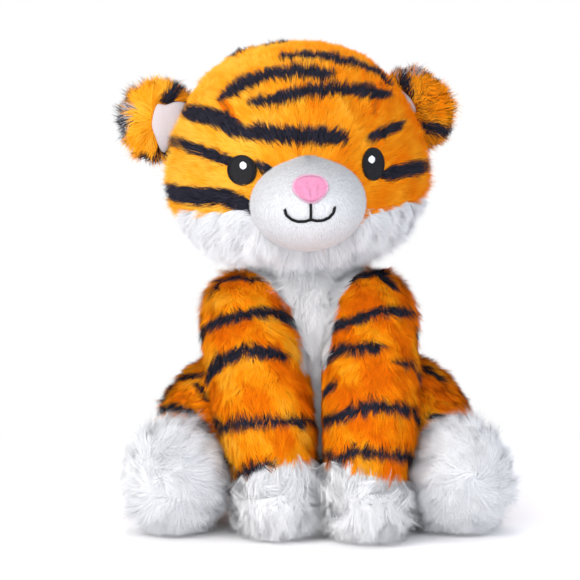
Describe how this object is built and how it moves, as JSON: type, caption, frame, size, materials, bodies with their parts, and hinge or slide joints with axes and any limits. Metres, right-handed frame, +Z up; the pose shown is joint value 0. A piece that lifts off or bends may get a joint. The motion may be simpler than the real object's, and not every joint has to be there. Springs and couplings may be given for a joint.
{
  "type": "plush tiger",
  "caption": "Sitting plush tiger with a round head, cup ears, stuffed legs with white paws, a white chest and a banded tail.",
  "frame": {"origin": "middle of the seat panel's underside, on the surface the toy sits on", "axes": "+Z up, the toy faces -Y, its left side is +X"},
  "size_m": [0.194, 0.1867, 0.2404],
  "materials": {
    "orange_plush": "long brushed pile, orange with blue-black stripes",
    "white_plush": "long shaggy pile, white",
    "white_velboa": "short dense pile, white",
    "black_thread": "satin stitch, black",
    "white_thread": "satin stitch, white",
    "pink_thread": "satin stitch, pink",
    "polyester_fibre": "loose fibre filling",
    "pouch_cloth": "woven bag of plastic pellets",
    "seat_cloth": "short pile, orange"
  },
  "bodies": {
    "torso": {"torso": "orange_plush", "chest_panel": "white_plush", "seat_panel": "seat_cloth", "pellet_pouch": "pouch_cloth", "torso_filling": "polyester_fibre"},
    "neck": {"neck_wadding": "polyester_fibre"},
    "head": {"head": "orange_plush", "head_filling": "polyester_fibre", "muzzle": "white_velboa", "nose": "pink_thread", "mouth": "black_thread", "cheek_panel": "white_plush", "eye_patch_right": "black_thread", "eye_patch_left": "black_thread", "eye_highlight_right": "white_thread", "eye_highlight_left": "white_thread"},
    "tail": {"tail": "orange_plush", "tail_tip": "white_plush"},
    "ear_right": {"ear_right": "orange_plush", "ear_lining_right": "white_velboa"},
    "front_leg_right": {"front_leg_right": "orange_plush", "front_paw_right": "white_plush", "front_leg_filling_right": "polyester_fibre"},
    "hind_leg_right": {"hind_leg_right": "orange_plush", "hind_foot_right": "white_plush", "hind_leg_filling_right": "polyester_fibre"},
    "ear_left": {"ear_left": "orange_plush", "ear_lining_left": "white_velboa"},
    "front_leg_left": {"front_leg_left": "orange_plush", "front_paw_left": "white_plush", "front_leg_filling_left": "polyester_fibre"},
    "hind_leg_left": {"hind_leg_left": "orange_plush", "hind_foot_left": "white_plush", "hind_leg_filling_left": "polyester_fibre"}
  },
  "joints": [
    {"name": "neck_turn", "type": "hinge", "parent": "torso", "child": "neck", "pos_m": [-0.005, 0, 0.133], "axis": [0, 0, 1], "range_deg": [-30, 30]},
    {"name": "head_nod", "type": "hinge", "parent": "neck", "child": "head", "pos_m": [-0.005, 0, 0.133], "axis": [1, 0, 0], "range_deg": [-10, 5]},
    {"name": "ear_right_fold", "type": "hinge", "parent": "head", "child": "ear_right", "pos_m": [-0.06812, -0.00212, 0.19698], "axis": [0.3732, 0.0326, 0.9272], "range_deg": [-15, 25]},
    {"name": "ear_left_fold", "type": "hinge", "parent": "head", "child": "ear_left", "pos_m": [0.04558, 0.00782, 0.20446], "axis": [0.4367, 0.0382, -0.8988], "range_deg": [-15, 25]},
    {"name": "front_leg_right_swing", "type": "hinge", "parent": "torso", "child": "front_leg_right", "pos_m": [-0.03426, -0.02678, 0.105], "axis": [-1, 0, 0], "range_deg": [0, 55]},
    {"name": "front_leg_left_swing", "type": "hinge", "parent": "torso", "child": "front_leg_left", "pos_m": [0.02774, -0.02678, 0.105], "axis": [-1, 0, 0], "range_deg": [0, 55]},
    {"name": "hind_leg_right_lift", "type": "hinge", "parent": "torso", "child": "hind_leg_right", "pos_m": [-0.04298, 0.011, 0.049], "axis": [-0.7071, 0, -0.7071], "range_deg": [0, 25]},
    {"name": "hind_leg_left_lift", "type": "hinge", "parent": "torso", "child": "hind_leg_left", "pos_m": [0.04298, 0.011, 0.049], "axis": [-0.7071, 0, 0.7071], "range_deg": [0, 25]},
    {"name": "tail_swing", "type": "hinge", "parent": "torso", "child": "tail", "pos_m": [0, 0.04399, 0.024], "axis": [0, 0, 1], "range_deg": [-20, 30]}
  ]
}
